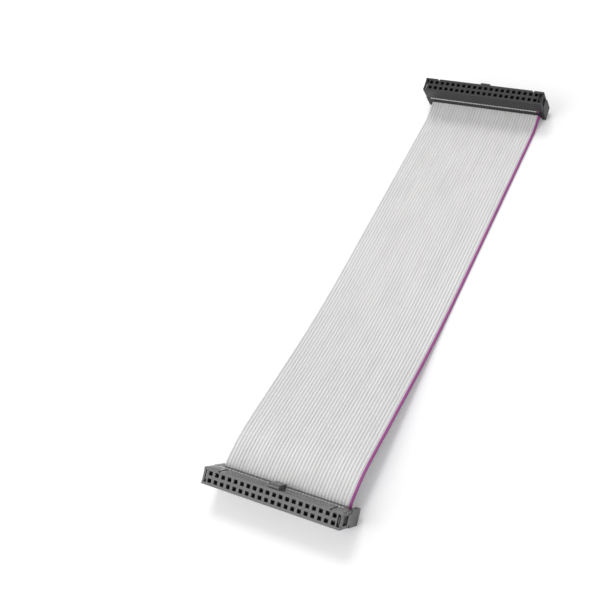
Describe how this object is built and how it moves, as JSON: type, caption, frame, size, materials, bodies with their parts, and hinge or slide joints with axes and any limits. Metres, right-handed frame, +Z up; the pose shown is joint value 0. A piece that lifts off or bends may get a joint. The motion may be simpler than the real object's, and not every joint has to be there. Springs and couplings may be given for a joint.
{
  "type": "ribbon cable",
  "caption": "Short flat ribbon cable with a two-row insulation-displacement socket at each end, lying in a shallow arch on a surface with both sockets facing up.",
  "frame": {"origin": "on the surface that the cable lies on, under the middle of the cable's length and width", "axes": "X along both connectors, towards the purple edge wire; Y from the near connector to the far one; Z up"},
  "size_m": [0.0546, 0.2202, 0.0155],
  "materials": {
    "connector_plastic": "fine moulded texture, charcoal",
    "ribbon_insulation": "extruded vinyl, soft sheen, light grey",
    "edge_wire_insulation": "extruded vinyl, soft sheen, purple",
    "tinned_contact": "stamped bronze, tin plated",
    "copper_core": "tinned copper, cut ends"
  },
  "bodies": {
    "root": {"near_housing": "connector_plastic", "near_cover": "connector_plastic", "near_strain_relief": "connector_plastic", "near_contacts_odd_row": "tinned_contact", "near_contacts_even_row": "tinned_contact", "far_housing": "connector_plastic", "far_cover": "connector_plastic", "far_strain_relief": "connector_plastic", "far_contacts_odd_row": "tinned_contact", "far_contacts_even_row": "tinned_contact", "ribbon_insulation": "ribbon_insulation", "edge_wire_insulation": "edge_wire_insulation", "near_wire_cores": "copper_core", "far_wire_cores": "copper_core"}
  },
  "joints": []
}
